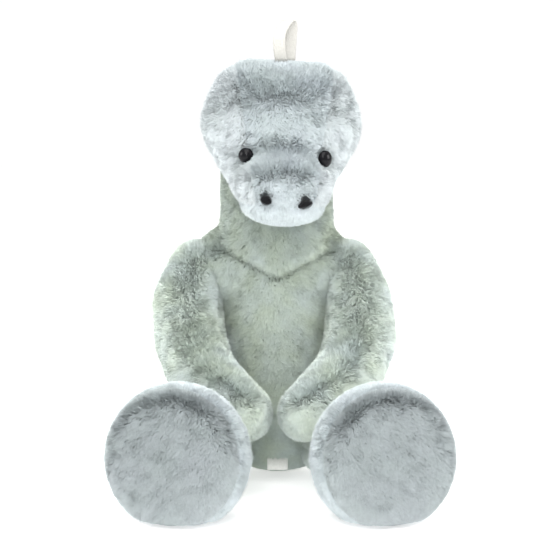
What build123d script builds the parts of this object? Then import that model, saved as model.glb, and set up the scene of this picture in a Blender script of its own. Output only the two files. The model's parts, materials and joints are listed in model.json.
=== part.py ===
from build123d import *
import os
from math import asin, cos, pi, sin

# Seated plush dinosaur, in millimetres. It sits on z = 0 and faces -Y; +X is on the viewer's right.

# Driving sizes
SKIN = 2.5  # pile fabric with its knitted backing
GAP = 0.8  # free space between pieces that move against each other
SIDES = {"left": -1, "right": 1}

# Torso and neck: one turned pear with a round top that the head sits over
TORSO_Y = 8
SEAT_R = 36
BELLY = (56, 42)  # radius and height of the widest level
BELLY_ROUND = (50.5, 14)  # a level on the way down to the seat
WAIST = (46, 112)
WAIST_ROUND = (51, 78)  # a level on the way up to the waist
NECK_R = 43
NECK_Z = 235
SEAT_PANEL_H = 7
BACK_PANEL_Y = 14  # side seams of the torso run in this plane

# Head: a wide round cranium and an oval muzzle, turned a little on the neck
NECK_PIVOT = (0, TORSO_Y, NECK_Z)
CRANIUM = (0, -6, 277)
CRANIUM_HALF_W = 61
CRANIUM_R = 50
MUZZLE = (0, -45, 231)
MUZZLE_HALF_W = 38
MUZZLE_HALF_H = 29
MUZZLE_HALF_L = 46
GUSSET_HALF_W = 30
CHIN_Z = 221
HEAD_YAW = 4
HEAD_ROLL = 2.6
NOD_UP = 15
NOD_DOWN = 20

# Eyes and nostrils, before the head is turned
EYE = (29.6, -42.5, 255)
EYE_LOOK = (0.45, -0.88, -0.1)
EYE_R = 6
EYE_DOME = 4.2
EYE_SOCKET = 0.2  # room round each eye in the stuffing
SHANK_R = 1.6
SHANK_L = 14
WASHER_R = 8
WASHER_DEPTH = 9
WASHER_T = 1.2
NOSTRIL = (14, 225.5)
NOSTRIL_R = 4.3
NOSTRIL_T = 0.9

# Arms: two round runs each, from the shoulder to the elbow and on to the paw between the legs
SHOULDER = (60, 5, 165)
ELBOW = (67, -28, 107)
PAW = (21, -82, 66)
SHOULDER_R = 26
ELBOW_R = 27
PAW_R = 20
ARM_LIFT = 60
SHOULDER_FLAT_X = 38  # the torso is flat where the arms lie against it
SHOULDER_FLAT_Z = (90, 202)

# Legs and feet
HIP = (40, -20, 28)
ANKLE = (68, -118, 36)
SOLE = (80, -163, 50)
HIP_R = 26
ANKLE_R = 25
FOOT_R = 51
FOOT_T = 50
FOOT_ROUND = 18
SOLE_DEPTH = 14
POUCH_R = 26
POUCH_T = 20
LEG_SPREAD = 30

# Tail: three runs that get thinner, lying just above the surface the toy sits on
TAIL_RUN = [((0, 58, 33), 28), ((2, 106, 25), 23), ((8, 148, 16), 14), ((17, 174, 10), 8)]
TAIL_WAG = 35

# Inside the seat, and the small sewn-on parts
PELLET_BAG_HALF_W = 34
PELLET_BAG_R = 19
PELLET_BAG_Z = 90
LABEL = (16, 9)
LABEL_Z = 15
LABEL_T = 1.0
THREAD_W = 1.2
THREAD_T = 0.6
THREAD_SPAN = (95, 165)
LOOP_X = 6
LOOP_W = 9
LOOP_DEPTH = 17
LOOP_TOP = 357
LOOP_FOOT = 327.6
LOOP_T = 1.2
BIG = 1500
SLOT_L = 120
LINK_STEP = 0.05  # each run starts this much inside the ball that ends the one before


def mirrored(point, side):
    """The same point on the left (-1) or the right (+1) of the toy."""
    return (point[0] * side, point[1], point[2])


def along(start, end):
    """The placement that sets a shape made along +X at one point, running towards another."""
    run = Vector(*end) - Vector(*start)
    return Plane(origin=start, x_dir=run, z_dir=run.cross(Vector(0, 0, 1))).location


def capsule(start, start_r, end, end_r):
    """A round run between two balls of different size, smooth where they meet."""
    length = (Vector(*end) - Vector(*start)).length
    lean = asin((start_r - end_r) / length)
    slope = (start_r - end_r) / length
    first = (start_r * slope, start_r * cos(lean))
    last = (length + end_r * slope, end_r * cos(lean))
    half = lean / 2 + pi / 4
    back = (-start_r * cos(half), start_r * sin(half))
    front = (length + end_r * cos(half), end_r * sin(half))
    outline = [
        ThreePointArc((-start_r, 0), back, first),
        Line(first, last),
        ThreePointArc(last, front, (length + end_r, 0)),
        Line((length + end_r, 0), (-start_r, 0)),
    ]
    return along(start, end) * revolve(make_face(outline), Axis.X)


def ellipsoid(half_x, half_y, half_z):
    """An ellipsoid with its axes along X, Y and Z."""
    return scale(Sphere(1), by=(half_x, half_y, half_z))


def swing_slot(pivot, hinge, reach, radius, half_w, low, high):
    """The straight-walled room that a round limb needs while it swings between two angles."""
    run = Vector(*reach) - Vector(*pivot)
    flat = run - Vector(*hinge) * run.dot(Vector(*hinge))
    plane = Plane(origin=pivot, x_dir=flat, z_dir=hinge)
    near_low = Vector(radius, 0).rotate(Axis.Z, low - 90)
    near_high = Vector(radius, 0).rotate(Axis.Z, high + 90)
    far_low = near_low + Vector(SLOT_L, 0).rotate(Axis.Z, low)
    far_high = near_high + Vector(SLOT_L, 0).rotate(Axis.Z, high)
    back = Vector(-radius, 0).rotate(Axis.Z, (low + high) / 2)
    outline = [
        Line(near_low, far_low),
        Line(far_low, far_high),
        Line(far_high, near_high),
        ThreePointArc(near_high, back, near_low),
    ]
    return extrude(plane * make_face(outline), half_w, both=True)


def cut(shape, tools):
    """The shape with every tool taken away, one after the other."""
    for tool in tools:
        shape = shape - tool
    return shape


def half_space(origin, normal, x_dir=None):
    """A very large block on the side of a plane that its normal points to."""
    block = Box(BIG, BIG, BIG, align=(Align.CENTER, Align.CENTER, Align.MIN))
    return Plane(origin=origin, x_dir=x_dir, z_dir=normal) * block


def save(name, shape):
    """Write one piece to its own file."""
    shape.label = name
    export_step(shape, f"parts/{name}.step")


def torso_solid(inset):
    """Torso and neck as one turned solid, with its wall moved inwards."""
    top = NECK_R - inset
    foot = (SEAT_R - inset, inset)
    belly_round, belly, waist_round, waist = (
        (radius - inset, height) for radius, height in (BELLY_ROUND, BELLY, WAIST_ROUND, WAIST)
    )
    outline = [
        Line((0, inset), foot),
        ThreePointArc(foot, belly_round, belly),
        ThreePointArc(belly, waist_round, waist),
        Line(waist, (top, NECK_Z)),
        CenterArc((0, NECK_Z), top, 0, 90),
        Line((0, NECK_Z + top), (0, inset)),
    ]
    return Pos(0, TORSO_Y, 0) * revolve(Plane.XZ * make_face(outline), Axis.Z)


def muzzle_solid(inset):
    """The muzzle, before the head is turned."""
    return Pos(*MUZZLE) * ellipsoid(MUZZLE_HALF_W - inset, MUZZLE_HALF_L - inset, MUZZLE_HALF_H - inset)


def head_solid(inset):
    """Cranium and muzzle as one solid, with its wall moved inwards, before the head is turned."""
    radius = CRANIUM_R - inset
    return Pos(*CRANIUM) * ellipsoid(CRANIUM_HALF_W - inset, radius, radius) + muzzle_solid(inset)


def turn_head(shape):
    """Turn a head piece on the neck, as the toy holds it."""
    rolled = shape.rotate(Axis(NECK_PIVOT, (0, 1, 0)), HEAD_ROLL)
    return rolled.rotate(Axis(NECK_PIVOT, (0, 0, 1)), HEAD_YAW)


def chain(run, inset):
    """Capsules end to end through a list of balls, with their wall moved inwards."""
    links = []
    for (start, start_r), (end, end_r) in zip(run, run[1:]):
        links.append(capsule(start, start_r - inset - LINK_STEP, end, end_r - inset))
    return links[0].fuse(*links[1:])


def make_torso():
    """Front, back and seat panels, stuffing, pellet bag, label and closing thread."""
    low, high = SHOULDER_FLAT_Z
    room = []
    for side in SIDES.values():
        flat = Box(BIG, BIG, high - low, align=(Align.MIN, Align.CENTER, Align.MIN))
        room.append(Rot(0, 0, 90 - 90 * side) * Pos(SHOULDER_FLAT_X, 0, low) * flat)
        hip, ankle = mirrored(HIP, side), mirrored(ANKLE, side)
        room.append(swing_slot(hip, (0, 0, side), ankle, HIP_R + GAP, HIP_R + 3, 0, LEG_SPREAD))
    base, base_r = TAIL_RUN[0]
    tail_next = TAIL_RUN[1][0]
    room.append(swing_slot(base, (0, 0, 1), tail_next, base_r + GAP, base_r + 7, -TAIL_WAG, TAIL_WAG))
    whole = torso_solid(0)
    outer = cut(whole, room)
    inner = cut(torso_solid(SKIN), room)
    shell = outer - inner
    seat = Box(BIG, BIG, SEAT_PANEL_H, align=(Align.CENTER, Align.CENTER, Align.MIN))
    upper = shell - seat
    back = half_space((0, BACK_PANEL_Y, 0), (0, 1, 0))
    right = half_space((0, 0, 0), (1, 0, 0))
    save("seat_panel", shell & seat)
    save("front_panel", upper - back)
    save("back_panel_left", (upper & back) - right)
    save("back_panel_right", upper & back & right)

    bag = Pos(0, TORSO_Y, PELLET_BAG_Z) * ellipsoid(PELLET_BAG_HALF_W, PELLET_BAG_R, PELLET_BAG_R)
    save("belly_pellet_bag", bag)
    save("torso_stuffing", inner - bag)

    label_w, label_h = LABEL
    front_y = TORSO_Y - torso_radius(whole, LABEL_Z) - LABEL_T
    tag = Pos(0, front_y, LABEL_Z) * Box(label_w, 8, label_h, align=(Align.CENTER, Align.MIN, Align.CENTER))
    save("care_label", tag - whole)

    low, high = THREAD_SPAN
    strip = Pos(0, TORSO_Y, low) * Box(THREAD_W, 100, high - low, align=(Align.CENTER, Align.MIN, Align.MIN))
    save("closing_thread", (torso_solid(-THREAD_T) & strip) - whole)


def torso_radius(solid, height):
    """How far the torso reaches from its own axis at one height."""
    ring = solid & (Pos(0, 0, height) * Box(BIG, BIG, 0.1))
    return ring.bounding_box().size.X / 2


def make_head():
    """Side panels, gusset, chin, eyes with their washers, nostrils and stuffing."""
    neck_room = NECK_R + 2.5
    room = [swing_slot(NECK_PIVOT, (1, 0, 0), (0, TORSO_Y, 0), neck_room, NECK_R + GAP, -NOD_DOWN, NOD_UP)]
    muzzle = muzzle_solid(0)
    proud = muzzle_solid(-NOSTRIL_T)
    eyes = []
    hollows = []
    for name, side in SIDES.items():
        spot = mirrored(EYE, side)
        look = mirrored(EYE_LOOK, side)
        ahead = tuple(a + b for a, b in zip(spot, look))
        bulge = (EYE_R ** 2 + EYE_DOME ** 2) / (2 * EYE_DOME)
        half_way = asin(EYE_R / bulge) / 2
        crest = (EYE_DOME - bulge * (1 - cos(half_way)), bulge * sin(half_way))
        dome = ThreePointArc((0, EYE_R), crest, (EYE_DOME, 0))
        outline = Polyline((0, EYE_R), (0, SHANK_R), (-SHANK_L, SHANK_R), (-SHANK_L, 0), (EYE_DOME, 0))
        eye = turn_head(along(spot, ahead) * revolve(make_face([dome, *outline.edges()]), Axis.X))
        seat = along(spot, ahead) * Pos(-WASHER_DEPTH, 0, 0) * Rot(0, 90, 0)
        disc = Cylinder(WASHER_R, WASHER_T)
        eyes.append(eye)
        upright = (Align.CENTER, Align.CENTER, Align.MIN)
        shank = Rot(0, -90, 0) * Cylinder(SHANK_R, SHANK_L, align=upright)
        socket = Pos(-EYE_SOCKET, 0, 0) * Rot(0, 90, 0) * Cylinder(EYE_R + EYE_SOCKET, 2 * EYE_R, align=upright)
        hollows += [turn_head(seat * disc), turn_head(along(spot, ahead) * (shank + socket))]
        save(f"eye_{name}", eye)
        save(f"eye_washer_{name}", turn_head(seat * (disc - Cylinder(SHANK_R, WASHER_T))))
        spot_x, spot_z = NOSTRIL
        punch = Cylinder(NOSTRIL_R, BIG, align=upright)
        patch = Pos(spot_x * side, MUZZLE[1], spot_z) * Rot(90, 0, 0) * punch
        save(f"nostril_{name}", turn_head((proud & patch) - muzzle))

    outer = cut(turn_head(head_solid(0)), room)
    inner = cut(turn_head(head_solid(SKIN)), room)
    shell = cut(outer - inner, eyes)
    chin = turn_head(half_space((0, 0, CHIN_Z), (0, 0, -1)))
    middle = turn_head(Box(2 * GUSSET_HALF_W, BIG, 2 * BIG))
    upper = shell - chin
    save("chin_panel", shell & chin)
    save("head_gusset", upper & middle)
    cheeks = upper - middle
    right = turn_head(half_space((0, 0, 0), (1, 0, 0)))
    save("head_side_left", cheeks - right)
    save("head_side_right", cheeks & right)
    save("head_stuffing", cut(inner, hollows))


def make_hang_loop():
    """A ribbon bent into a tall ring, standing over the crown."""
    height = LOOP_TOP - LOOP_FOOT
    middle = Pos(LOOP_X, CRANIUM[1], (LOOP_TOP + LOOP_FOOT) / 2) * Rot(0, 90, 0)
    ring = RectangleRounded(height, LOOP_DEPTH, LOOP_DEPTH / 2 - 0.5)
    hole = RectangleRounded(height - 2 * LOOP_T, LOOP_DEPTH - 2 * LOOP_T, LOOP_DEPTH / 2 - LOOP_T - 0.5)
    save("hang_loop", middle * extrude(ring - hole, LOOP_W / 2, both=True))


def arm_solid(shoulder, elbow, paw, side, inset):
    """Upper arm, cut flat where it lies against the torso, and forearm with its paw."""
    flat = half_space(((SHOULDER_FLAT_X + GAP + inset) * side, 0, 0), (side, 0, 0))
    upper = capsule(shoulder, SHOULDER_R - inset, elbow, ELBOW_R - inset) & flat
    return upper + capsule(elbow, ELBOW_R - inset - LINK_STEP, paw, PAW_R - inset)


def make_arm(name, side):
    """Top and under panels with the seam between them, and the stuffing."""
    shoulder, elbow, paw = (mirrored(p, side) for p in (SHOULDER, ELBOW, PAW))
    inner = arm_solid(shoulder, elbow, paw, side, SKIN)
    shell = arm_solid(shoulder, elbow, paw, side, 0) - inner
    upper_run = Vector(*elbow) - Vector(*shoulder)
    across = upper_run.cross(Vector(*paw) - Vector(*shoulder)) * side
    front = half_space(shoulder, across, x_dir=upper_run)
    save(f"arm_{name}_top_panel", shell & front)
    save(f"arm_{name}_under_panel", shell - front)
    save(f"arm_{name}_stuffing", inner)


def foot_solid(inset):
    """A thick round cushion along +X, ending at x = 0 with its sole."""
    drum = Rot(0, 90, 0) * Cylinder(FOOT_R - inset, FOOT_T - 2 * inset)
    rims = drum.edges().filter_by(GeomType.CIRCLE)
    return Pos(-FOOT_T / 2, 0, 0) * fillet(rims, FOOT_ROUND - inset)


def make_leg(name, side):
    """Leg sleeve panels, foot band, sole, stuffing and the pellet pouch in the foot."""
    hip, ankle, sole = (mirrored(p, side) for p in (HIP, ANKLE, SOLE))
    past = tuple(2 * b - a for a, b in zip(hip, sole))
    frame = along(sole, past)
    floor = half_space((0, 0, 0), (0, 0, 1))
    inner_floor = half_space((0, 0, SKIN), (0, 0, 1))
    leg_out = capsule(hip, HIP_R, ankle, ANKLE_R)
    leg_in = capsule(hip, HIP_R - SKIN, ankle, ANKLE_R - SKIN)
    foot_out = (frame * foot_solid(0)) & floor
    foot_in = (frame * foot_solid(SKIN)) & inner_floor
    block = Box(BIG, BIG, BIG, align=(Align.MIN, Align.CENTER, Align.CENTER))
    front = frame * Pos(-SOLE_DEPTH, 0, 0) * block
    above = half_space(hip, (0, 0, 1))
    filling = leg_in + foot_in
    pouch = frame * (Pos(-FOOT_T / 2, 0, 0) * Rot(0, 90, 0) * Cylinder(POUCH_R, POUCH_T))
    sleeve = leg_out - leg_in - foot_out
    foot_shell = foot_out - foot_in - leg_in
    save(f"leg_{name}_top_panel", sleeve & above)
    save(f"leg_{name}_under_panel", sleeve - above)
    save(f"foot_{name}_band", foot_shell - front)
    save(f"foot_{name}_sole", foot_shell & front)
    save(f"leg_{name}_stuffing", filling - pouch)
    save(f"foot_{name}_pellet_pouch", pouch)


def make_tail():
    """Two long panels with a seam along the top and the underside, and the stuffing."""
    inner = chain(TAIL_RUN, SKIN)
    shell = chain(TAIL_RUN, 0) - inner
    base, tip = Vector(*TAIL_RUN[0][0]), Vector(*TAIL_RUN[-1][0])
    across = Vector(0, 0, 1).cross(tip - base) * -1
    right = half_space(TAIL_RUN[0][0], across)
    save("tail_panel_right", shell & right)
    save("tail_panel_left", shell - right)
    save("tail_stuffing", inner)


os.makedirs("parts", exist_ok=True)
make_torso()
make_head()
make_hang_loop()
for side_name, side_sign in SIDES.items():
    make_arm(side_name, side_sign)
    make_leg(side_name, side_sign)
make_tail()
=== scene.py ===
import bpy
import json
import math
import numpy as np
from mathutils import Matrix, Vector
from mathutils.bvhtree import BVHTree


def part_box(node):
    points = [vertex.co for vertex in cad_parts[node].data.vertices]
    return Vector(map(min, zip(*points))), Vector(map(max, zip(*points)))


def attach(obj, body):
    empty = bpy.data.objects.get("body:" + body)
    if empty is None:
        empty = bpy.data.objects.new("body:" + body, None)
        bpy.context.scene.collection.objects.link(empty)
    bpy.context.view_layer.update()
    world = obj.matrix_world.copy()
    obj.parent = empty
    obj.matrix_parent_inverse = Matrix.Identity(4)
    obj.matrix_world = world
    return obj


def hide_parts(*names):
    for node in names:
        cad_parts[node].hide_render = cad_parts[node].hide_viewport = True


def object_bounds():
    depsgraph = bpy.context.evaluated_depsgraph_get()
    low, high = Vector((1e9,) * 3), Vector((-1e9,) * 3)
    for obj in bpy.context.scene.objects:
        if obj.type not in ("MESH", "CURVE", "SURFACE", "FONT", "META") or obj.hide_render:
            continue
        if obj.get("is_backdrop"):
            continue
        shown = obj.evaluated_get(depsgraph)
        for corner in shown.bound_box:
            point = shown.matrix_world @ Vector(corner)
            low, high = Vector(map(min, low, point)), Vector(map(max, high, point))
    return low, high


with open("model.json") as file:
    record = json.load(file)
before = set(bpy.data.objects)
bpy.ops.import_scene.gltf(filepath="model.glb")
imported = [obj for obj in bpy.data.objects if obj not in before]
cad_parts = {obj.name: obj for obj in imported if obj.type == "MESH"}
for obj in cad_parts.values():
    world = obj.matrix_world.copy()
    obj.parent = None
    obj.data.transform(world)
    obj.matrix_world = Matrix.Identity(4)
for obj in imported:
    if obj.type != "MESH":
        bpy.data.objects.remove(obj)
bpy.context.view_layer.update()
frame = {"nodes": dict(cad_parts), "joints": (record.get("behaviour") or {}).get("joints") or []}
pivot = {j["name"]: Vector(j["pos_m"]) for j in frame["joints"]}
neck = pivot["head_nod"]
rump = pivot["tail_wag"]


# ---- Torso --------------------------------------------------------------------------------
# A pear of short-piled knit, sewn from a front, two back panels and a flat seat disc, and
# stuffed firmly. The neck is its narrow top, and the head is sewn down over it.

def pick_only(obj):
    bpy.ops.object.select_all(action="DESELECT")
    obj.select_set(True)
    bpy.context.view_layer.objects.active = obj


def fix_modifiers(obj):
    pick_only(obj)
    for m in list(obj.modifiers):
        bpy.ops.object.modifier_apply(modifier=m.name)


def along_run(stops):
    """Balls close together along a limb, between the places where its thickness is given."""
    balls = []
    for (a, ra), (b, rb) in zip(stops, stops[1:]):
        a, b = Vector(a), Vector(b)
        n = max(1, math.ceil((b - a).length / 0.009))
        for i in range(n):
            t = i / n
            balls.append((a.lerp(b, t), (ra + (rb - ra) * t,) * 3))
    last, r = stops[-1]
    return balls + [(Vector(last), (r,) * 3)]


def clay(name, balls, voxel=0.0045, ease=10):
    """One closed skin over a heap of balls, eased until they run into each other."""
    bpy.ops.object.select_all(action="DESELECT")
    heap = []
    for centre, radii in balls:
        bpy.ops.mesh.primitive_uv_sphere_add(segments=24, ring_count=16, radius=1,
                                             location=centre, scale=radii)
        heap.append(bpy.context.active_object)
    for ball in heap:
        ball.select_set(True)
    bpy.ops.object.join()
    skin = bpy.context.active_object
    skin.name = name
    bpy.ops.object.transform_apply(location=True, rotation=True, scale=True)
    knit = skin.modifiers.new("one skin", "REMESH")
    knit.mode = "VOXEL"
    knit.voxel_size = voxel
    soft = skin.modifiers.new("ease", "SMOOTH")
    soft.factor = 0.6
    soft.iterations = ease
    fix_modifiers(skin)
    return skin


def corners(obj):
    co = np.empty(len(obj.data.vertices) * 3)
    obj.data.vertices.foreach_get("co", co)
    return co.reshape(-1, 3)


def put_corners(obj, co):
    obj.data.vertices.foreach_set("co", co.ravel())
    obj.data.update()


def to_seam(co, seams):
    """How far each point is from the nearest seam; a seam is a plane, and where it runs."""
    near = np.full(len(co), 1.0)
    for point, normal, runs in seams:
        n = np.array(Vector(normal).normalized())
        d = np.abs((co - np.array(point)) @ n)
        near = np.minimum(near, np.where(runs(co), d, 1.0))
    return near


def stuff(skin, seams, cap=0.004, depth=0.0012):
    """Blow the skin out between its seams, as the fibre does, and round its facets off."""
    rest = corners(skin)
    held = skin.vertex_groups.new(name="seam")
    for i, d in enumerate(to_seam(rest, seams)):
        if d < 0.005:
            held.add([i], 1 - d / 0.005, "REPLACE")
    cloth = skin.modifiers.new("fill", "CLOTH")
    cloth.settings.quality = 4
    cloth.settings.mass = 0.25
    cloth.settings.tension_stiffness = 20
    cloth.settings.compression_stiffness = 20
    cloth.settings.bending_stiffness = 0.5
    cloth.settings.vertex_group_mass = "seam"
    cloth.settings.use_pressure = True
    cloth.settings.uniform_pressure_force = 4
    cloth.settings.effector_weights.gravity = 0
    cloth.point_cache.frame_start = 1
    cloth.point_cache.frame_end = 12
    for f in range(1, 13):
        bpy.context.scene.frame_set(f)
    fix_modifiers(skin)
    bpy.context.scene.frame_set(1)
    move = corners(skin) - rest
    far = np.linalg.norm(move, axis=1, keepdims=True)
    put_corners(skin, rest + move * np.minimum(1, cap / np.maximum(far, 1e-9)))
    finer = skin.modifiers.new("finer", "SUBSURF")
    finer.levels = finer.render_levels = 1
    fix_modifiers(skin)
    skin.vertex_groups.clear()
    co = corners(skin)
    out = np.empty(len(co) * 3)
    skin.data.vertices.foreach_get("normal", out)
    dip = depth * np.exp(-(to_seam(co, seams) / 0.003) ** 2)
    put_corners(skin, co - out.reshape(-1, 3) * dip[:, None])
    return skin


def sit(skin, level):
    """Flatten the skin where it rests."""
    co = corners(skin)
    co[:, 2] = np.where(co[:, 2] < level, level + (co[:, 2] - level) * 0.04, co[:, 2])
    put_corners(skin, co)


def cut_out(skin, planes, panels):
    """Cut the skin along its seams into named panels; each test picks faces by their middle."""
    pick_only(skin)
    bpy.ops.object.mode_set(mode="EDIT")
    for point, normal in planes:
        bpy.ops.mesh.select_all(action="SELECT")
        bpy.ops.mesh.bisect(plane_co=point, plane_no=normal)
    bpy.ops.object.mode_set(mode="OBJECT")
    cut = {}
    for name, test in panels.items():
        panel = skin.copy()
        panel.data = skin.data.copy()
        panel.name = name
        bpy.context.scene.collection.objects.link(panel)
        keep = [test(p.center) for p in panel.data.polygons]
        pick_only(panel)
        bpy.ops.object.mode_set(mode="EDIT")
        bpy.ops.mesh.select_mode(type="FACE")
        bpy.ops.mesh.select_all(action="DESELECT")
        bpy.ops.object.mode_set(mode="OBJECT")
        for p, k in zip(panel.data.polygons, keep):
            p.select = not k
        bpy.ops.object.mode_set(mode="EDIT")
        bpy.ops.mesh.delete(type="FACE")
        bpy.ops.object.mode_set(mode="OBJECT")
        cut[name] = panel
    return cut


# one tuft of pile: a narrow pointed blade, with its rise from root to tip as an attribute
bpy.ops.object.select_all(action="DESELECT")
bpy.ops.mesh.primitive_circle_add(vertices=3, radius=1, fill_type="NGON")
tuft = bpy.context.active_object
tuft.name = "tuft"
for v, spot in zip(tuft.data.vertices, [(-0.4, 0, 0), (0.4, 0, 0), (0, 0.6, 4.6)]):
    v.co = Vector(spot) * 0.001
rise = tuft.data.attributes.new("rise", "FLOAT", "POINT")
for v, r in zip(tuft.data.vertices, rise.data):
    r.value = min(1.0, v.co.z / 0.0046)
tuft.hide_render = True
tuft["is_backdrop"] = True


def grow_pile(density):
    """Modifier tree that stands tufts on a panel, leaning together in small clumps."""
    tree = bpy.data.node_groups.new(f"pile_{density:.2f}", "GeometryNodeTree")
    tree.interface.new_socket("Geometry", in_out="INPUT", socket_type="NodeSocketGeometry")
    tree.interface.new_socket("Geometry", in_out="OUTPUT", socket_type="NodeSocketGeometry")
    link = tree.links.new

    def add(kind, **props):
        node = tree.nodes.new(kind)
        for k, v in props.items():
            setattr(node, k, v)
        return node

    def vec(op, a, b=None, scale=None):
        node = add("ShaderNodeVectorMath", operation=op)
        for socket, value in zip(node.inputs, (a, b)):
            if value is None:
                continue
            if isinstance(value, bpy.types.NodeSocket):
                link(value, socket)
            else:
                socket.default_value = value
        if scale is not None:
            node.inputs["Scale"].default_value = scale
        return node.outputs["Vector"]

    def named(name):
        node = add("GeometryNodeInputNamedAttribute", data_type="FLOAT")
        node.inputs["Name"].default_value = name
        return node.outputs["Attribute"]

    def times(a, b):
        node = add("ShaderNodeMath", operation="MULTIPLY")
        for socket, value in zip(node.inputs, (a, b)):
            if isinstance(value, bpy.types.NodeSocket):
                link(value, socket)
            else:
                socket.default_value = value
        return node.outputs[0]

    def chance(low, high, seed, kind="FLOAT"):
        node = add("FunctionNodeRandomValue", data_type=kind)
        live = [s for s in node.inputs if s.enabled]
        live[0].default_value = low
        live[1].default_value = high
        node.inputs["Seed"].default_value = seed
        return [s for s in node.outputs if s.enabled][0]

    start = add("NodeGroupInput")
    end = add("NodeGroupOutput")
    spread = add("GeometryNodeDistributePointsOnFaces", distribute_method="RANDOM")
    link(start.outputs[0], spread.inputs["Mesh"])
    link(times(named("cover"), density * 1e6), spread.inputs["Density"])
    lie = add("GeometryNodeStoreNamedAttribute", data_type="FLOAT_VECTOR", domain="POINT")
    lie.inputs["Name"].default_value = "lie"
    link(spread.outputs["Points"], lie.inputs["Geometry"])
    link(spread.outputs["Normal"], lie.inputs["Value"])
    kept = add("GeometryNodeInputNamedAttribute", data_type="FLOAT_VECTOR")
    kept.inputs["Name"].default_value = "lie"
    normal = kept.outputs["Attribute"]
    clump = add("ShaderNodeTexNoise")
    clump.inputs["Scale"].default_value = 120
    clump.inputs["Detail"].default_value = 1.5
    swirl = vec("SCALE", vec("SUBTRACT", clump.outputs["Color"], (0.5, 0.5, 0.5)), scale=0.9)
    jitter = chance((-0.34, -0.34, -0.34), (0.34, 0.34, 0.34), 3, "FLOAT_VECTOR")
    lean = vec("ADD", vec("ADD", swirl, jitter), (0.05, -0.10, -0.62))
    flat = vec("SUBTRACT", lean, vec("PROJECT", lean, normal))
    way = vec("NORMALIZE", vec("ADD", vec("SCALE", normal, scale=0.72), vec("SCALE", flat, scale=0.72)))
    up = add("FunctionNodeAlignRotationToVector", axis="Z")
    link(way, up.inputs["Vector"])
    face = add("FunctionNodeAlignRotationToVector", axis="Y", pivot_axis="Z")
    link(up.outputs["Rotation"], face.inputs["Rotation"])
    link(normal, face.inputs["Vector"])
    blade = add("GeometryNodeObjectInfo")
    blade.inputs["Object"].default_value = tuft
    stand = add("GeometryNodeInstanceOnPoints")
    link(lie.outputs["Geometry"], stand.inputs["Points"])
    link(blade.outputs["Geometry"], stand.inputs["Instance"])
    link(face.outputs["Rotation"], stand.inputs["Rotation"])
    size = add("ShaderNodeCombineXYZ")
    size.inputs["X"].default_value = 1.0
    link(times(chance(0.72, 1.12, 5), named("height")), size.inputs["Z"])
    size.inputs["Y"].default_value = 1.0
    link(size.outputs[0], stand.inputs["Scale"])
    real = add("GeometryNodeRealizeInstances")
    link(stand.outputs["Instances"], real.inputs["Geometry"])
    link(real.outputs["Geometry"], end.inputs[0])
    return tree


pile_tree = grow_pile(4.6)


def put_value(obj, name, values):
    layer = obj.data.attributes.new(name, "FLOAT", "POINT")
    layer.data.foreach_set("value", np.asarray(values, np.float32))


def inside(tree, co, depth):
    """Which points lie deeper than depth under another skin."""
    under = np.zeros(len(co), bool)
    for i, p in enumerate(co):
        spot, n, _, _ = tree.find_nearest(Vector(p))
        under[i] = (Vector(p) - spot).dot(n) < -depth
    return under


def upholster(panel, node, body, material, seams, buried=(), under=(), bald=(), length=1.0):
    """Grow the pile on a panel, give its backing a thickness, and hang it on its body."""
    co = corners(panel)
    out = np.empty(len(co) * 3)
    panel.data.vertices.foreach_get("normal", out)
    out = out.reshape(-1, 3)
    cover = np.ones(len(co))
    for centre, radius in buried:
        cover[np.linalg.norm(co - np.array(centre), axis=1) < radius] = 0
    for tree in under:
        cover[inside(tree, co, 0.003)] = 0
    near = to_seam(co, seams)
    height = length * (0.72 + 0.28 * np.clip(near / 0.005, 0, 1))
    for centre, radius in bald:
        d = np.linalg.norm(co - np.array(centre), axis=1)
        height *= 0.35 + 0.65 * np.clip((d - radius) / 0.006, 0, 1)
        cover[d < radius * 0.8] = 0
    low = (co[:, 2] < 0.006) & (out[:, 2] < -0.5)
    height[low] *= 0.3
    put_value(panel, "cover", cover)
    put_value(panel, "height", height)
    pile = panel.copy()
    pile.data = panel.data.copy()
    bpy.context.scene.collection.objects.link(pile)
    grower = pile.modifiers.new("pile", "NODES")
    grower.node_group = pile_tree
    fix_modifiers(pile)
    backing = panel.modifiers.new("backing", "SOLIDIFY")
    backing.thickness = 0.0018
    backing.offset = -1
    fix_modifiers(panel)
    pick_only(panel)
    bpy.ops.object.shade_smooth()
    bpy.ops.object.select_all(action="DESELECT")
    pile.select_set(True)
    panel.select_set(True)
    bpy.context.view_layer.objects.active = panel
    bpy.ops.object.join()
    for spare in ("cover", "height"):
        layer = panel.data.attributes.get(spare)
        if layer:
            panel.data.attributes.remove(layer)
    panel.data.materials.clear()
    panel.data.materials.append(material)
    panel.name = node + "_pile"
    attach(panel, body)
    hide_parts(node)
    return panel


def wad(skin, node, body, material, inset=0.0045, lump=0.0012, under=()):
    """The fibre inside a skin: the same form a little smaller and lumpy."""
    fill = skin.copy()
    fill.data = skin.data.copy()
    bpy.context.scene.collection.objects.link(fill)
    co = corners(fill)
    out = np.empty(len(co) * 3)
    fill.data.vertices.foreach_get("normal", out)
    wave = np.sin(co[:, :1] * 310) * np.sin(co[:, 1:2] * 270 + 1) * np.sin(co[:, 2:] * 290 + 2)
    put_corners(fill, co - out.reshape(-1, 3) * (inset + lump * (1 - wave) / 2))
    fill.data.materials.clear()
    fill.data.materials.append(material)
    pick_only(fill)
    bpy.ops.object.shade_smooth()
    fill.name = node + "_wad"
    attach(fill, body)
    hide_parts(node)
    return fill


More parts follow.
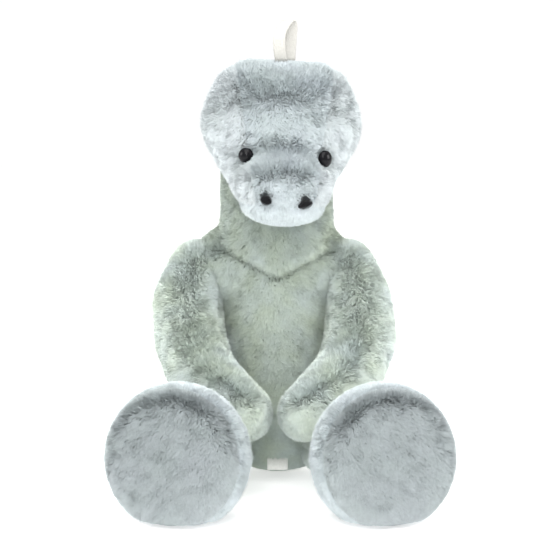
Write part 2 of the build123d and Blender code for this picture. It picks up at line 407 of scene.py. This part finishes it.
def cloth_finish(name, low, high, scale, rough):
    """A plain cloth or fibre finish: two tones of fine noise, with the same noise as relief."""
    material = bpy.data.materials.new(name)
    material.use_nodes = True
    nodes, link = material.node_tree.nodes, material.node_tree.links.new
    shader = nodes["Principled BSDF"]
    shader.inputs["Roughness"].default_value = rough
    shader.inputs["Sheen Weight"].default_value = 0.2
    place = nodes.new("ShaderNodeTexCoord")
    grain = nodes.new("ShaderNodeTexNoise")
    grain.inputs["Scale"].default_value = scale
    grain.inputs["Detail"].default_value = 4
    tone = nodes.new("ShaderNodeValToRGB")
    tone.color_ramp.elements[0].position = 0.3
    tone.color_ramp.elements[0].color = (*low, 1)
    tone.color_ramp.elements[1].position = 0.7
    tone.color_ramp.elements[1].color = (*high, 1)
    relief = nodes.new("ShaderNodeBump")
    relief.inputs["Strength"].default_value = 0.5
    relief.inputs["Distance"].default_value = 0.0006
    link(place.outputs["Object"], grain.inputs["Vector"])
    link(grain.outputs["Fac"], tone.inputs["Fac"])
    link(tone.outputs["Color"], shader.inputs["Base Color"])
    link(grain.outputs["Fac"], relief.inputs["Height"])
    link(relief.outputs["Normal"], shader.inputs["Normal"])
    return material


fibre = cloth_finish("polyester fibre", (0.70, 0.70, 0.67), (0.90, 0.90, 0.88), 240, 0.9)
bagging = cloth_finish("pellet bag cloth", (0.60, 0.59, 0.54), (0.76, 0.75, 0.70), 900, 0.85)


def pile_shade():
    """Shader group: root to tip, drifting green to blue, darker flecks, and a soft normal. The darker root
    colour is partly the knit's own two tones and partly painted shade deep in the pile.
    """
    group = bpy.data.node_groups.new("pile_shade", "ShaderNodeTree")
    face = group.interface
    for name in ("Green", "Blue", "Root"):
        face.new_socket(name, in_out="INPUT", socket_type="NodeSocketColor")
    face.new_socket("Color", in_out="OUTPUT", socket_type="NodeSocketColor")
    face.new_socket("Normal", in_out="OUTPUT", socket_type="NodeSocketVector")
    nodes, link = group.nodes, group.links.new
    start, end = nodes.new("NodeGroupInput"), nodes.new("NodeGroupOutput")
    place = nodes.new("ShaderNodeTexCoord")

    def noise(scale, detail, low, high):
        tex = nodes.new("ShaderNodeTexNoise")
        tex.inputs["Scale"].default_value = scale
        tex.inputs["Detail"].default_value = detail
        link(place.outputs["Object"], tex.inputs["Vector"])
        span = nodes.new("ShaderNodeMapRange")
        span.inputs["From Min"].default_value = 0.32
        span.inputs["From Max"].default_value = 0.68
        span.inputs["To Min"].default_value = low
        span.inputs["To Max"].default_value = high
        link(tex.outputs["Fac"], span.inputs["Value"])
        return span.outputs["Result"]

    def blend(kind, fac, a, b):
        node = nodes.new("ShaderNodeMix")
        node.data_type = "RGBA"
        node.blend_type = kind
        for socket, value in ((node.inputs[0], fac), (node.inputs[6], a), (node.inputs[7], b)):
            if isinstance(value, bpy.types.NodeSocket):
                link(value, socket)
            else:
                socket.default_value = value
        return node.outputs[2]

    drift = blend("MIX", noise(38, 3, 0, 1), start.outputs["Green"], start.outputs["Blue"])
    fleck = nodes.new("ShaderNodeCombineColor")
    speck = noise(420, 2, 0.92, 1.07)
    for socket in fleck.inputs:
        link(speck, socket)
    tip = blend("MULTIPLY", 1.0, drift, fleck.outputs[0])
    rise = nodes.new("ShaderNodeAttribute")
    rise.attribute_name = "rise"
    curve = nodes.new("ShaderNodeMath")
    curve.operation = "POWER"
    curve.inputs[1].default_value = 0.6
    link(rise.outputs["Fac"], curve.inputs[0])
    # Darker at the root than at the tip: partly the tipped knit, partly painted shade down among the
    # fibres.
    link(blend("MIX", curve.outputs[0], start.outputs["Root"], tip), end.inputs["Color"])
    lie = nodes.new("ShaderNodeAttribute")
    lie.attribute_name = "lie"
    turn = nodes.new("ShaderNodeVectorTransform")
    turn.vector_type = "NORMAL"
    turn.convert_from, turn.convert_to = "OBJECT", "WORLD"
    link(lie.outputs["Vector"], turn.inputs[0])
    soft = nodes.new("ShaderNodeVectorMath")
    soft.operation = "SCALE"
    soft.inputs["Scale"].default_value = 1.4
    link(turn.outputs[0], soft.inputs[0])
    geo = nodes.new("ShaderNodeNewGeometry")
    both = nodes.new("ShaderNodeVectorMath")
    both.operation = "ADD"
    link(soft.outputs["Vector"], both.inputs[0])
    link(geo.outputs["Normal"], both.inputs[1])
    unit = nodes.new("ShaderNodeVectorMath")
    unit.operation = "NORMALIZE"
    link(both.outputs["Vector"], unit.inputs[0])
    link(unit.outputs["Vector"], end.inputs["Normal"])
    return group


pile_group = pile_shade()


def pile_finish(name, green, blue, root, sheen):
    material = bpy.data.materials.new(name)
    material.use_nodes = True
    nodes = material.node_tree.nodes
    shader = nodes["Principled BSDF"]
    shader.inputs["Roughness"].default_value = 0.95
    shader.inputs["Specular IOR Level"].default_value = 0.15
    shader.inputs["Sheen Weight"].default_value = sheen
    shader.inputs["Sheen Roughness"].default_value = 0.6
    tone = nodes.new("ShaderNodeGroup")
    tone.node_tree = pile_group
    for socket, colour in (("Green", green), ("Blue", blue), ("Root", root)):
        tone.inputs[socket].default_value = (*colour, 1)
    material.node_tree.links.new(tone.outputs["Color"], shader.inputs["Base Color"])
    # The pile colour also drives a faint glow (strength 0.08): painted light that stands for light
    # scattered between the fibres, lifting the shade in the pile.
    material.node_tree.links.new(tone.outputs["Color"], shader.inputs["Emission Color"])
    shader.inputs["Emission Strength"].default_value = 0.08
    material.node_tree.links.new(tone.outputs["Normal"], shader.inputs["Normal"])
    return material


sage = pile_finish("sage pile", (0.73, 0.81, 0.70), (0.74, 0.82, 0.81), (0.66, 0.75, 0.68), 0.35)
# A darker copy of the sage pile, used on the torso panels: painted shade on the chest and belly.
sage_painted_shade = pile_finish("moss pile", (0.49, 0.56, 0.45), (0.50, 0.57, 0.55), (0.43, 0.50, 0.44), 0.3)
mist = pile_finish("mist pile", (0.66, 0.73, 0.73), (0.69, 0.75, 0.78), (0.62, 0.69, 0.71), 0.35)
# A darker copy of the mist pile, used on the soles: painted shade on the forward-facing soles.
mist_painted_shade = pile_finish("slate pile", (0.44, 0.49, 0.49), (0.46, 0.50, 0.515), (0.41, 0.46, 0.47), 0.3)
# A lighter copy of the mist pile, used on the head sides: painted light, for the light and sheen the sides
# of the head catch.
mist_painted_light = pile_finish("pale pile", (0.72, 0.78, 0.78), (0.75, 0.80, 0.82), (0.68, 0.74, 0.75), 0.35)

side_y = neck.y + 0.006
seat_z = 0.007
torso = clay("torso", along_run([
    ((0, neck.y + 0.004, 0.047), 0.0475), ((0, neck.y, 0.056), 0.0500), ((0, neck.y, 0.078), 0.0475),
    ((0, neck.y, 0.112), 0.0425), ((0, neck.y, 0.165), 0.0422), ((-0.001, neck.y, neck.z), 0.0415)])
    + along_run([((-0.040, neck.y, 0.166), 0.0265), ((0.033, neck.y, 0.165), 0.0265)])
    + [((0, neck.y + 0.014, 0.019), (0.030, 0.030, 0.019))])
sit(torso, 0.002)
torso_seams = [
    ((0, side_y, 0), (0, 1, 0), lambda co: co[:, 2] > seat_z),
    ((0, 0, 0), (1, 0, 0), lambda co: (co[:, 1] > side_y) & (co[:, 2] > seat_z)),
    ((0, 0, seat_z), (0, 0, 1), lambda co: co[:, 2] < 0.05),
]
stuff(torso, torso_seams)
crease = corners(torso)
fold = np.exp(-((crease[:, 2] - 0.162 - 0.02 * np.abs(crease[:, 0]) / 0.04) / 0.0035) ** 2)
crease[:, 1] += 0.0022 * fold * (crease[:, 1] < side_y - 0.01)
put_corners(torso, crease)
torso_tree = BVHTree.FromObject(torso, bpy.context.evaluated_depsgraph_get())
torso_panels = cut_out(
    torso,
    [((0, side_y, 0), (0, 1, 0)), ((0, 0, 0), (1, 0, 0)), ((0, 0, seat_z), (0, 0, 1))],
    {
        "seat_panel": lambda c: c.z < seat_z,
        "front_panel": lambda c: c.z > seat_z and c.y < side_y,
        "back_panel_left": lambda c: c.z > seat_z and c.y > side_y and c.x < 0,
        "back_panel_right": lambda c: c.z > seat_z and c.y > side_y and c.x > 0,
    })
wad(torso, "torso_stuffing", "torso", fibre)
# ---- Belly pellets, label and closing seam ------------------------------------------------
# A cloth bag of pellets low in the belly, a folded satin label sewn in at the seat, and the
# ladder stitches that close the back.

def pellet_bag(node, body, centre, radii, turned=None):
    """A slack round cloth bag, dimpled by the pellets in it."""
    bag = clay(node, [((0, 0, 0), radii)], voxel=0.004, ease=2)
    pellets = bag.modifiers.new("finer", "SUBSURF")
    pellets.levels = pellets.render_levels = 1
    fix_modifiers(bag)
    co = corners(bag)
    knob = np.sin(co[:, 0] * 1100) * np.sin(co[:, 1] * 1100) * np.sin(co[:, 2] * 1100)
    put_corners(bag, co * (0.965 + 0.02 * knob[:, None]))
    if turned:
        bag.data.transform(turned)
    bag.data.transform(Matrix.Translation(centre))
    bag.data.materials.append(bagging)
    pick_only(bag)
    bpy.ops.object.shade_smooth()
    bag.name = node + "_bag"
    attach(bag, body)
    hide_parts(node)


def middle_of(node):
    low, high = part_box(node)
    return (low + high) / 2, (high - low) / 2


centre, half = middle_of("belly_pellet_bag")
pellet_bag("belly_pellet_bag", "torso", centre, half)

satin = cloth_finish("label satin", (0.74, 0.74, 0.70), (0.86, 0.86, 0.83), 1400, 0.45)
centre, half = middle_of("care_label")
bpy.ops.object.select_all(action="DESELECT")
bpy.ops.mesh.primitive_grid_add(x_subdivisions=16, y_subdivisions=14, size=1)
label = bpy.context.active_object
co = corners(label)
flat_w, flat_l = 2 * half.x, 0.0125
t = co[:, 1] + 0.5
bend = np.column_stack([co[:, 0] * flat_w, -0.0045 * np.sin(t * 1.9) - 0.0004 * np.sin(co[:, 0] * 9),
                        -flat_l * t + 0.002 * t * t])
front = torso_tree.ray_cast(Vector((0, -0.3, centre.z + 0.004)), Vector((0, 1, 0)))[0]
put_corners(label, bend + np.array([centre.x, front.y - 0.0018, centre.z + 0.006]))
hem = label.modifiers.new("two layers", "SOLIDIFY")
hem.thickness = 0.0004
fix_modifiers(label)
bpy.ops.object.shade_smooth()
label.name = "care_label_satin"
label.data.materials.append(satin)
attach(label, "torso")
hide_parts("care_label")

cotton = cloth_finish("sewing thread", (0.26, 0.31, 0.28), (0.38, 0.44, 0.41), 1200, 0.7)
low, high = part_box("closing_thread")
stitches = []
bpy.ops.object.select_all(action="DESELECT")
for i in range(14):
    z = low.z + (high.z - low.z) * (i + 0.5) / 14
    back = torso_tree.ray_cast(Vector((0, 0.3, z)), Vector((0, -1, 0)))[0]
    bpy.ops.mesh.primitive_torus_add(major_radius=0.0021, minor_radius=0.00035, major_segments=16,
                                     minor_segments=6, location=(0, back.y + 0.0006, z),
                                     rotation=(0, 0.35, 0))
    stitches.append(bpy.context.active_object)
for stitch in stitches:
    stitch.select_set(True)
bpy.ops.object.join()
bpy.ops.object.transform_apply(location=True, rotation=True, scale=True)
ladder = bpy.context.active_object
bpy.ops.object.shade_smooth()
ladder.name = "closing_thread_stitches"
ladder.data.materials.append(cotton)
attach(ladder, "torso")
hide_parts("closing_thread")


# ---- Head ---------------------------------------------------------------------------------
# A broad flat-topped head with a wide soft muzzle: two cheeks, a gusset that runs from the
# muzzle over the crown, and a chin. It is turned and tipped a little on the neck.

turn = (Matrix.Translation(neck) @ Matrix.Rotation(math.radians(4), 4, "Z")
        @ Matrix.Rotation(math.radians(2.6), 4, "Y") @ Matrix.Translation(-neck))
crown = neck + Vector((0, -0.014, 0.042))
snout = neck + Vector((0, -0.066, -0.004))
head = clay("head", [
    (crown, (0.0605, 0.047, 0.045)),
    (crown + Vector((-0.024, 0, 0.018)), (0.029, 0.034, 0.028)),
    (crown + Vector((0.024, 0, 0.018)), (0.029, 0.034, 0.028)),
    (crown + Vector((0, 0.014, -0.022)), (0.046, 0.038, 0.034)),
    (neck + Vector((0, 0.002, 0.008)), (0.043, 0.046, 0.026)),
    (crown + Vector((-0.012, -0.012, -0.024)), (0.036, 0.036, 0.026)),
    (crown + Vector((0.012, -0.012, -0.024)), (0.036, 0.036, 0.026)),
    (snout + Vector((-0.012, 0, 0)), (0.0225, 0.026, 0.0235)),
    (snout + Vector((0.012, 0, 0)), (0.0225, 0.026, 0.0235)),
    (snout + Vector((0, 0.002, 0.002)), (0.034, 0.024, 0.024)),
    (snout + Vector((0, 0.006, -0.009)), (0.0325, 0.024, 0.0165)),
    (snout + Vector((-0.009, 0.022, 0.006)), (0.029, 0.03, 0.026)),
    (snout + Vector((0.009, 0.022, 0.006)), (0.029, 0.03, 0.026)),
    (snout + Vector((0, 0.028, 0.022)), (0.030, 0.030, 0.026)),
], ease=14)
brow = 0.030
slope = 0.16
chin_z = neck.z - 0.014
head_seams = [
    ((brow, 0, crown.z), (1, 0, -slope), lambda co: (co[:, 2] > chin_z) & (co[:, 0] > 0)),
    ((-brow, 0, crown.z), (1, 0, slope), lambda co: (co[:, 2] > chin_z) & (co[:, 0] < 0)),
    ((0, 0, chin_z), (0, 0, 1), lambda co: co[:, 1] < 0.05),
]
stuff(head, head_seams)


def in_gusset(c):
    return abs(c.x) < brow + slope * (c.z - crown.z)


head_panels = cut_out(
    head,
    [((brow, 0, crown.z), (1, 0, -slope)), ((-brow, 0, crown.z), (1, 0, slope)),
     ((0, 0, chin_z), (0, 0, 1))],
    {
        "chin_panel": lambda c: c.z < chin_z,
        "head_gusset": lambda c: c.z > chin_z and in_gusset(c),
        "head_side_left": lambda c: c.z > chin_z and not in_gusset(c) and c.x < 0,
        "head_side_right": lambda c: c.z > chin_z and not in_gusset(c) and c.x > 0,
    })
head_tree = BVHTree.FromObject(head, bpy.context.evaluated_depsgraph_get())


def on_skin(x, z, towards=Vector((0, 1, 0))):
    """Where a line from in front meets the head, and which way the skin faces there."""
    spot, n, _, _ = head_tree.ray_cast(Vector((x, -0.3, z)), towards)
    return spot, n


eye_at = {"left": on_skin(-0.0280, 0.2540), "right": on_skin(0.0290, 0.2538)}
nostril_at = {"left": on_skin(-0.0142, 0.2256), "right": on_skin(0.0142, 0.2244)}
bald = [(p, 0.0060) for p, _ in eye_at.values()] + [(p, 0.0058) for p, _ in nostril_at.values()]
wad(head, "head_stuffing", "head", fibre).data.transform(turn)
for node, panel in head_panels.items():
    # The head sides take the lighter copy of the mist pile, which is painted light; the gusset and chin
    # take the mist pile.
    finish = mist_painted_light if node.startswith("head_side") else mist
    done = upholster(panel, node, "head", finish, head_seams,
                     under=[torso_tree], bald=bald)
    done.data.transform(turn)

# the torso is covered once the head is on, so that no pile stands inside the head
head.data.transform(turn)
turned_tree = BVHTree.FromObject(head, bpy.context.evaluated_depsgraph_get())
in_limbs = []
for side in ("left", "right"):
    in_limbs.append((pivot[f"arm_{side}_lift"], 0.020))
    in_limbs.append((pivot[f"leg_{side}_spread"], 0.021))
in_limbs.append((rump, 0.022))
for node, panel in torso_panels.items():
    # The torso panels take the darker copy of the sage pile, which is painted shade.
    upholster(panel, node, "torso", sage_painted_shade, torso_seams, buried=in_limbs, under=[turned_tree])

# ---- Eyes ---------------------------------------------------------------------------------
# Glossy black domes on shanks, held by washers inside the head.

EYE_R = 0.0057


def facing(way):
    """The turn that points a shape's Z axis along a direction."""
    return way.to_track_quat("Z", "Y").to_matrix().to_4x4()


gloss = bpy.data.materials.new("eye gloss")
gloss.use_nodes = True
wet = gloss.node_tree.nodes["Principled BSDF"]
wet.inputs["Base Color"].default_value = (0.004, 0.004, 0.005, 1)
wet.inputs["Roughness"].default_value = 0.06
wet.inputs["Specular IOR Level"].default_value = 0.13
for side, (spot, n) in eye_at.items():
    look = (n * 0.4 + Vector((0.5 if side == "right" else -0.15, -0.95, 0.0))).normalized()
    bpy.ops.object.select_all(action="DESELECT")
    bpy.ops.mesh.primitive_uv_sphere_add(segments=40, ring_count=24, radius=EYE_R)
    eye = bpy.context.active_object
    bpy.ops.object.mode_set(mode="EDIT")
    bpy.ops.mesh.select_all(action="SELECT")
    bpy.ops.mesh.bisect(plane_co=(0, 0, -0.0012), plane_no=(0, 0, 1), use_fill=True, clear_inner=True)
    bpy.ops.object.mode_set(mode="OBJECT")
    rim = eye.modifiers.new("rim", "BEVEL")
    rim.width = 0.0005
    rim.segments = 2
    rim.limit_method = "ANGLE"
    fix_modifiers(eye)
    flatten = Matrix.Diagonal((1, 1.12 if side == "right" else 1.0, 0.72, 1))
    eye.data.transform(turn @ Matrix.Translation(spot + look * 0.0034) @ facing(look) @ flatten)
    bpy.ops.object.shade_smooth()
    eye.name = f"eye_{side}_dome"
    eye.data.materials.append(gloss)
    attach(eye, "head")
    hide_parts(f"eye_{side}")

for side in ("left", "right"):
    washer = frame["nodes"][f"eye_washer_{side}"]
    washer.data.materials.clear()
    washer.data.materials.append(
        cloth_finish(f"washer {side}", (0.70, 0.70, 0.69), (0.80, 0.80, 0.79), 300, 0.5))

# ---- Nostrils -----------------------------------------------------------------------------
# Two small ovals of black satin stitch, each a row of threads laid side by side.

STITCHES = 12
STITCH_T = 0.0015

thread = bpy.data.materials.new("nose thread")
thread.use_nodes = True
sew = thread.node_tree.nodes["Principled BSDF"]
sew.inputs["Roughness"].default_value = 0.55
sew.inputs["Specular IOR Level"].default_value = 0.2
wool = thread.node_tree.nodes.new("ShaderNodeTexNoise")
wool.inputs["Scale"].default_value = 900
spot_at = thread.node_tree.nodes.new("ShaderNodeTexCoord")
shade = thread.node_tree.nodes.new("ShaderNodeValToRGB")
shade.color_ramp.elements[0].color = (0.002, 0.002, 0.003, 1)
shade.color_ramp.elements[1].color = (0.010, 0.010, 0.012, 1)
thread.node_tree.links.new(spot_at.outputs["Object"], wool.inputs["Vector"])
thread.node_tree.links.new(wool.outputs["Fac"], shade.inputs["Fac"])
thread.node_tree.links.new(shade.outputs["Color"], sew.inputs["Base Color"])
for side, (spot, n) in nostril_at.items():
    half_w, half_h, tilt = (0.0041, 0.0041, -20) if side == "left" else (0.0055, 0.0040, 22)
    look = (n + Vector((0, -0.6, 0))).normalized()
    strands = []
    bpy.ops.object.select_all(action="DESELECT")
    for i in range(STITCHES):
        x = half_w * (2 * (i + 0.5) / STITCHES - 1)
        half = half_h * math.sqrt(1 - (x / half_w) ** 2)
        thick = STITCH_T * (0.55 + 0.45 * half / half_h)
        bpy.ops.mesh.primitive_uv_sphere_add(segments=10, ring_count=8, radius=1, location=(x, 0, 0),
                                             scale=(half_w / 11, half, thick))
        strands.append(bpy.context.active_object)
    for s in strands:
        s.select_set(True)
    bpy.ops.object.join()
    bpy.ops.object.transform_apply(location=True, rotation=True, scale=True)
    nostril = bpy.context.active_object
    place = Matrix.Translation(spot + look * 0.0052) @ facing(look)
    nostril.data.transform(turn @ place @ Matrix.Rotation(math.radians(tilt), 4, "Z"))
    bpy.ops.object.shade_smooth()
    nostril.name = f"nostril_{side}_stitches"
    nostril.data.materials.append(thread)
    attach(nostril, "head")
    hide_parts(f"nostril_{side}")

# ---- Hang loop ----------------------------------------------------------------------------
# A loop of cream satin ribbon sewn into the crown, standing up with its two strands apart.

cream = cloth_finish("cream ribbon", (0.37, 0.36, 0.33), (0.47, 0.46, 0.43), 1300, 0.5)
low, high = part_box("hang_loop")
root = Vector(((low.x + high.x) / 2, (low.y + high.y) / 2, low.z))
route = [(-0.003, -0.006, -0.004), (-0.0048, -0.0085, 0.006), (-0.0052, -0.009, 0.014),
         (-0.0035, -0.0075, 0.0205),
         (0.0005, -0.004, 0.0265), (0.0035, 0.001, 0.0285), (0.005, 0.005, 0.025), (0.0045, 0.0065, 0.016),
         (0.0035, 0.006, 0.006), (0.003, 0.004, -0.004)]
path = bpy.data.curves.new("ribbon path", "CURVE")
path.dimensions = "3D"
line = path.splines.new("NURBS")
line.points.add(len(route) - 1)
for knot, p in zip(line.points, route):
    knot.co = (*(root + Vector(p)), 1)
line.order_u = 4
line.use_endpoint_u = True
path.resolution_u = 6
guide = bpy.data.objects.new("ribbon path", path)
bpy.context.scene.collection.objects.link(guide)
bpy.context.view_layer.update()
line_mesh = bpy.data.meshes.new_from_object(guide.evaluated_get(bpy.context.evaluated_depsgraph_get()))
stops = [v.co.copy() for v in line_mesh.vertices]
bpy.data.objects.remove(guide)
bpy.ops.object.select_all(action="DESELECT")
bpy.ops.mesh.primitive_grid_add(x_subdivisions=6, y_subdivisions=len(stops) - 1, size=1)
ribbon = bpy.context.active_object
co = corners(ribbon)
across = Vector((1, 0.28, 0)).normalized()
width = 0.0100
rows = np.rint((co[:, 1] + 0.5) * (len(stops) - 1)).astype(int)
laid = np.array([stops[r] for r in rows]) + np.outer(co[:, 0] * width * 0.96, across)
put_corners(ribbon, laid)
edge = ribbon.modifiers.new("weave", "SOLIDIFY")
edge.thickness = 0.0006
edge.offset = 0
fix_modifiers(ribbon)
bpy.ops.object.shade_smooth()
ribbon.name = "hang_loop_ribbon"
ribbon.data.materials.append(cream)
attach(ribbon, "hang_loop")
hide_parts("hang_loop")

# ---- Arms ---------------------------------------------------------------------------------
# Long soft arms of two panels each, sewn into the shoulders. They hang round the belly and
# the paws meet between the legs.

for side, s in (("left", -1), ("right", 1)):
    shoulder = pivot[f"arm_{side}_lift"]
    closer = 0.0 if side == "left" else 0.0035
    broad = 0.0045 if side == "left" else 0.0
    bend = [(-0.003 + broad, 0.0, -0.003, 0.0225), (0.006 + broad, -0.013, -0.027, 0.0250),
            (0.008, -0.027, -0.053, 0.0258), (-0.001, -0.050, -0.075, 0.0240),
            (-0.019, -0.073, -0.088, 0.0222), (-0.0355, -0.087, -0.099, 0.0198)]
    stops = [(shoulder + Vector((s * (x - closer), y, z)), r) for x, y, z, r in bend]
    arm = clay(f"arm_{side}", along_run(stops))
    a, b, c = stops[0][0], stops[2][0], stops[5][0]
    across = (b - a).cross(c - a).normalized()
    if across.z < 0:
        across = -across
    seam = [(a, across, lambda co: co[:, 2] > -1)]
    stuff(arm, seam)
    wad(arm, f"arm_{side}_stuffing", f"arm_{side}", fibre)
    panels = cut_out(arm, [(a, across)], {
        f"arm_{side}_top_panel": lambda c: (c - a).dot(across) > 0,
        f"arm_{side}_under_panel": lambda c: (c - a).dot(across) < 0,
    })
    for node, panel in panels.items():
        upholster(panel, node, f"arm_{side}", sage, seam, under=[torso_tree])
    bpy.data.objects.remove(arm)

# ---- Legs and feet ------------------------------------------------------------------------
# Short sleeves that end in thick round feet; the big round sole is sewn in with a ring seam,
# and a pouch of pellets in each foot weighs it down.

for side, s in (("left", -1), ("right", 1)):
    hip = pivot[f"leg_{side}_spread"]
    wide = 0.0 if side == "left" else 0.005
    ankle = hip + Vector((s * (0.029 + wide), -0.098, 0.008))
    sole = hip + Vector((s * (0.038 + wide), -0.145, 0.022))
    ahead = (sole - hip).normalized()
    leg = clay(f"leg_{side}", along_run([(hip, 0.0225), (ankle, 0.0215)]))
    sit(leg, 0.003)
    leg_seam = [(hip, (0, 0, 1), lambda co: co[:, 2] > -1)]
    stuff(leg, leg_seam)
    bpy.ops.object.select_all(action="DESELECT")
    bpy.ops.mesh.primitive_cylinder_add(vertices=48, radius=0.0502, depth=0.047)
    foot = bpy.context.active_object
    round_off = foot.modifiers.new("round", "BEVEL")
    round_off.width = 0.0165
    round_off.segments = 6
    round_off.limit_method = "ANGLE"
    crown_it = foot.modifiers.new("one skin", "REMESH")
    crown_it.mode = "VOXEL"
    crown_it.voxel_size = 0.0045
    soft = foot.modifiers.new("ease", "SMOOTH")
    soft.factor = 0.6
    soft.iterations = 5
    fix_modifiers(foot)
    foot.data.transform(Matrix.Translation(sole - ahead * 0.025) @ facing(ahead))
    sit(foot, 0.002)
    ring = sole - ahead * 0.0135
    foot_seam = [(ring, ahead, lambda co: co[:, 2] > -1)]
    stuff(foot, foot_seam, cap=0.003)
    foot_tree = BVHTree.FromObject(foot, bpy.context.evaluated_depsgraph_get())
    leg_tree = BVHTree.FromObject(leg, bpy.context.evaluated_depsgraph_get())
    wad(leg, f"leg_{side}_stuffing", f"leg_{side}", fibre)
    panels = cut_out(leg, [(hip, (0, 0, 1))], {
        f"leg_{side}_top_panel": lambda c: c.z > hip.z,
        f"leg_{side}_under_panel": lambda c: c.z < hip.z,
    })
    for node, panel in panels.items():
        upholster(panel, node, f"leg_{side}", sage, leg_seam, under=[torso_tree, foot_tree])
    centre, half = middle_of(f"foot_{side}_pellet_pouch")
    pellet_bag(f"foot_{side}_pellet_pouch", f"leg_{side}", centre, (0.024, 0.024, 0.0095),
               facing(ahead))
    panels = cut_out(foot, [(ring, ahead)], {
        f"foot_{side}_band": lambda c: (c - ring).dot(ahead) < 0,
        f"foot_{side}_sole": lambda c: (c - ring).dot(ahead) > 0,
    })
    for node, panel in panels.items():
        # The soles take the darker copy of the mist pile, which is painted shade; the foot bands take the
        # mist pile.
        upholster(panel, node, f"leg_{side}", mist_painted_shade if "sole" in node else mist, foot_seam,
                  under=[leg_tree])
    bpy.data.objects.remove(leg)
    bpy.data.objects.remove(foot)

# ---- Tail ---------------------------------------------------------------------------------
# A tapering tail of two panels that lies behind the seat and curls a little to one side.

tail_run = [((0, 0, 0), 0.024), ((0.002, 0.048, -0.008), 0.0195), ((0.008, 0.090, -0.017), 0.0110),
            ((0.016, 0.113, -0.022), 0.0055)]
tail = clay("tail", along_run([(rump + Vector(p), r) for p, r in tail_run]))
sit(tail, 0.003)
middle = Vector((1, -0.11, 0))
tail_seam = [(rump, middle, lambda co: co[:, 2] > -1)]
stuff(tail, tail_seam)
wad(tail, "tail_stuffing", "tail", fibre)
panels = cut_out(tail, [(rump, middle)], {
    "tail_panel_left": lambda c: (c - rump).dot(middle) < 0,
    "tail_panel_right": lambda c: (c - rump).dot(middle) > 0,
})
for node, panel in panels.items():
    upholster(panel, node, "tail", sage, tail_seam, under=[torso_tree])

for skin in (torso, head, tail):
    bpy.data.objects.remove(skin)

# ---- Floor, light and camera --------------------------------------------------------------
# A plain white floor, even studio light from all sides, and a long lens from a little above.

bpy.ops.object.select_all(action="DESELECT")
bpy.ops.mesh.primitive_plane_add(size=6, location=(0, 0, 0))
floor = bpy.context.active_object
floor.name = "floor"
paper = bpy.data.materials.new("floor paper")
paper.use_nodes = True
paper.node_tree.nodes["Principled BSDF"].inputs["Base Color"].default_value = (0.95, 0.95, 0.95, 1)
paper.node_tree.nodes["Principled BSDF"].inputs["Roughness"].default_value = 0.9
paper.node_tree.nodes["Principled BSDF"].inputs["Emission Color"].default_value = (1, 1, 1, 1)
paper.node_tree.nodes["Principled BSDF"].inputs["Emission Strength"].default_value = 0.5
floor.data.materials.append(paper)
floor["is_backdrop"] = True

world = bpy.data.worlds.new("studio")
world.use_nodes = True
world.node_tree.nodes["Background"].inputs["Color"].default_value = (1, 1, 1, 1)
world.node_tree.nodes["Background"].inputs["Strength"].default_value = 1.02
bpy.context.scene.world = world
aim = Vector((0, 0, 0.17))
lamps = [
    ("overhead", (0, -0.6, 1.6), 1.2, 18),
    ("front", (-0.25, -1.9, 1.5), 0.9, 16),
    ("left", (-1.3, -0.5, 0.7), 0.7, 11),
    ("right", (1.3, -0.4, 0.7), 0.7, 12),
    ("catch", (-0.12, -1.7, 0.75), 0.1, 2.5),
]
for name, spot, size, watts in lamps:
    lamp = bpy.data.objects.new(name, bpy.data.lights.new(name, "AREA"))
    lamp.data.size = size
    lamp.data.energy = watts
    lamp.location = spot
    lamp.rotation_mode = "QUATERNION"
    lamp.rotation_quaternion = (aim - Vector(spot)).to_track_quat("-Z", "Y")
    bpy.context.scene.collection.objects.link(lamp)

camera = bpy.data.objects.new("camera", bpy.data.cameras.new("camera"))
camera.data.lens = 119.5
camera.data.sensor_width = 36
target = Vector((0, -0.040, 0.1618))
above = math.radians(8)
camera.location = target + 1.4 * Vector((0, -math.cos(above), math.sin(above)))
camera.rotation_mode = "QUATERNION"
camera.rotation_quaternion = (target - camera.location).to_track_quat("-Z", "Y")
bpy.context.scene.collection.objects.link(camera)
bpy.context.scene.camera = camera
bpy.context.scene.view_settings.view_transform = "Standard"

low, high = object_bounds()
